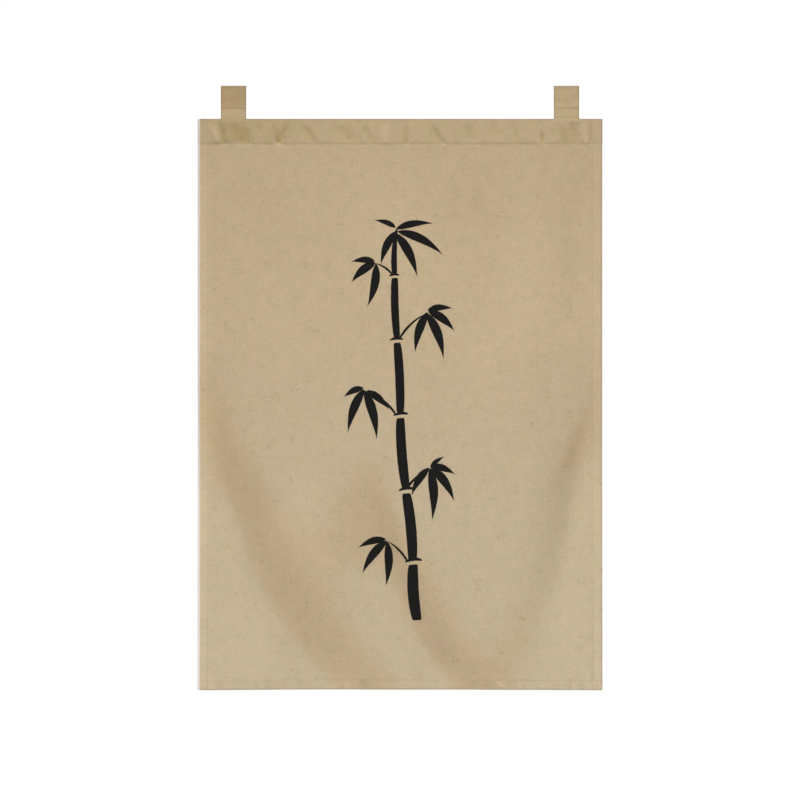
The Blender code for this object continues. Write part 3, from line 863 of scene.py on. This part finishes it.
def seam_thread(name, x, drop, upright, surfaces):
    """One seam's stitches, on the front and the back, as closed six-sided capsules that follow the cloth.

    x and drop (n) are the stitches' middles. A ring's points are middle + radius * (cos(a) across
    the seam + sin(a) out of the cloth). surfaces are the front's and the back's Y as functions.
    """
    step = STITCH_ALONG * STITCH_LENGTH / 2.0
    ring_x = x[:, None] + (0.0 if upright else 1.0) * step
    ring_drop = drop[:, None] + (1.0 if upright else 0.0) * step
    angle = np.arange(STITCH_SIDES) * 2.0 * math.pi / STITCH_SIDES
    radius = THREAD_RADIUS * STITCH_ROUND[:, None]
    points, places = [], []
    aside = radius * np.cos(angle)
    proud = radius * np.sin(angle) * (-1.0 if upright else 1.0)
    for surface, out in zip(surfaces, (-1.0, 1.0)):
        middle = surface(ring_x, ring_drop) + out * THREAD_RADIUS * STITCH_HEIGHT
        whole = np.empty((*ring_x.shape, STITCH_SIDES, 3))
        whole[..., 0] = ring_x[..., None] + (aside if upright else 0.0)
        whole[..., 1] = middle[..., None] + proud
        whole[..., 2] = PANEL_TOP - ring_drop[..., None] - (0.0 if upright else aside)
        points.append(whole.reshape(-1, 3))
        flat = np.stack([whole[..., 0] + HALF_WIDTH, PANEL_DROP - PANEL_TOP + whole[..., 2]], axis=-1)
        places.append(flat.reshape(-1, 2))
    points, places = np.concatenate(points), np.concatenate(places)
    stitches = len(points) // (len(step) * STITCH_SIDES)
    number = np.arange(len(points)).reshape(stitches, len(step), STITCH_SIDES)
    turned = np.roll(number, -1, axis=2)
    band = np.stack([number[:, :-1], turned[:, :-1], turned[:, 1:], number[:, 1:]], axis=-1)
    faces = band.reshape(-1, 4).tolist() + number[:, 0, ::-1].tolist() + number[:, -1].tolist()
    piece = piece_from(name, points, faces, places)
    piece.data.materials.append(thread)
    return piece


# A row of stitches starts this far inside the cloth's edge and ends just before the next distance,
# across the panel, down its sides and across a strap.
ACROSS_MARGIN = 0.004
FOOT_MARGIN = 0.003
STRAP_MARGINS = (0.003, 0.002)
# The loops' stitches lie this far below the point where their two layers part.
SEAM_STITCHES = 0.0022
wide = np.arange(-HALF_WIDTH + ACROSS_MARGIN, HALF_WIDTH - ACROSS_MARGIN, STITCH_PITCH)
tall = np.arange(HEADING + STITCH_PITCH, PANEL_DROP - FOOT_MARGIN, STITCH_PITCH)
edge = np.full(len(tall), HALF_WIDTH - HEM)
sides = (cloth_front, cloth_back)
seams = [
    seam_thread("thread_heading", wide, np.full(len(wide), HEADING), False, sides),
    seam_thread("thread_bottom_hem", wide, np.full(len(wide), PANEL_DROP - HEM), False, sides),
    seam_thread("thread_left_hem", -edge, tall, True, sides),
    seam_thread("thread_right_hem", edge, tall, True, sides),
]
# Below that point the strap's front and back are flat.
strap_faces = (
    lambda x, drop: np.full(x.shape, -STRAP - LAYER_GAP),
    lambda x, drop: np.full(x.shape, STRAP + LAYER_GAP),
)
first, last = STRAP_MARGINS
short = np.arange(-STRAP_WIDTH / 2.0 + first, STRAP_WIDTH / 2.0 - last, STITCH_PITCH)
drops = np.full(len(short), PANEL_TOP - SEAM_Z + SEAM_STITCHES)
for loop in LOOPS:
    seam = seam_thread(loop.node.replace("tab", "thread"), loop.x + short, drops, False, strap_faces)

# The stage: a plain pale floor about two metres under the rod, white round about, a high soft light,
# a weak one in front and one behind for the cloth's back, and the camera square on to the cloth.

FLOOR_Z = -1.95
FLOOR_RADIUS = 2.6
floor_middle = (0.0, 0.0, FLOOR_Z)
bpy.ops.mesh.primitive_circle_add(vertices=96, radius=FLOOR_RADIUS, fill_type="NGON", location=floor_middle)
floor = bpy.context.object
floor.name = "floor"
floor_paint = bpy.data.materials.new("pale_floor")
floor_paint.use_nodes = True
shader = floor_paint.node_tree.nodes["Principled BSDF"]
shader.inputs["Base Color"].default_value = colour("#EDEBE7")
shader.inputs["Roughness"].default_value = 0.7
floor.data.materials.append(floor_paint)

world = bpy.data.worlds.new("white_room")
bpy.context.scene.world = world
world.use_nodes = True
tree = world.node_tree
tree.nodes.clear()
# The camera sees plain white. The cloth is lit by a weak white, from below and more from above.
FILL_BELOW = 0.043
FILL_ABOVE = 0.215
seen = add(tree, "ShaderNodeLightPath")
white = add(tree, "ShaderNodeBackground", {"Color": colour("#FFFFFF"), "Strength": 1.0})
up = add(tree, "ShaderNodeTexCoord").outputs["Generated"]
up = add(tree, "ShaderNodeSeparateXYZ", {"Vector": up}).outputs["Z"]
fill = {"Value": up, "From Min": -1.0, "From Max": 1.0, "To Min": FILL_BELOW, "To Max": FILL_ABOVE}
fill = add(tree, "ShaderNodeMapRange", fill).outputs[0]
fill = add(tree, "ShaderNodeBackground", {"Color": colour("#FFFFFF"), "Strength": fill})
mix = {0: seen.outputs["Is Camera Ray"], 1: fill.outputs[0], 2: white.outputs[0]}
mix = add(tree, "ShaderNodeMixShader", mix)
add(tree, "ShaderNodeOutputWorld", {"Surface": mix.outputs[0]})

sun = bpy.data.objects.new("high_light", bpy.data.lights.new("high_light", "SUN"))
sun.data.energy = 3.7
sun.data.angle = math.radians(20.0)
sun.rotation_euler = (math.radians(27.0), 0.0, math.radians(-5.0))
bpy.context.scene.collection.objects.link(sun)

# A narrow light in front, and a wide one behind for the cloth's back, both facing the panel.
Light = namedtuple("Light", "name width watts y turn")
LIGHTS = (
    Light("front_light", 0.4, 3.1, -1.1, 90.0),
    Light("back_light", 1.6, 21.0, 1.6, -90.0),
)
LIGHT_HEIGHT = 3.0
LIGHT_Z = -0.6
for light in LIGHTS:
    lamp = bpy.data.objects.new(light.name, bpy.data.lights.new(light.name, "AREA"))
    lamp.data.shape = "RECTANGLE"
    lamp.data.size = light.width
    lamp.data.size_y = LIGHT_HEIGHT
    lamp.data.energy = light.watts
    lamp.location = (0.0, light.y, LIGHT_Z)
    lamp.rotation_euler = (math.radians(light.turn), 0.0, 0.0)
    lamp.visible_camera = False
    bpy.context.scene.collection.objects.link(lamp)

# The picture is this many pixels wide and high. In it the panel is PANEL_PIXELS wide, and its top
# edge lies PANEL_TOP_PIXELS down. The lens is long, because the picture shows no perspective.
PICTURE_PIXELS = 800
PANEL_PIXELS = 404.4
PANEL_TOP_PIXELS = 119
PICTURE_WIDTH = PICTURE_PIXELS * 2.0 * HALF_WIDTH / PANEL_PIXELS
PICTURE_Z = PANEL_TOP - (PICTURE_PIXELS / 2 - PANEL_TOP_PIXELS) * 2.0 * HALF_WIDTH / PANEL_PIXELS
LENS = 500.0
SENSOR = 36.0
camera = bpy.data.objects.new("camera", bpy.data.cameras.new("camera"))
camera.data.lens = LENS
camera.data.sensor_width = SENSOR
camera.data.clip_end = 50.0
camera.location = (0.0, PANEL_FRONT - LENS * PICTURE_WIDTH / SENSOR, PICTURE_Z)
camera.rotation_euler = (math.radians(90.0), 0.0, 0.0)
bpy.context.scene.collection.objects.link(camera)
bpy.context.scene.camera = camera
bpy.context.scene.view_settings.view_transform = "Standard"
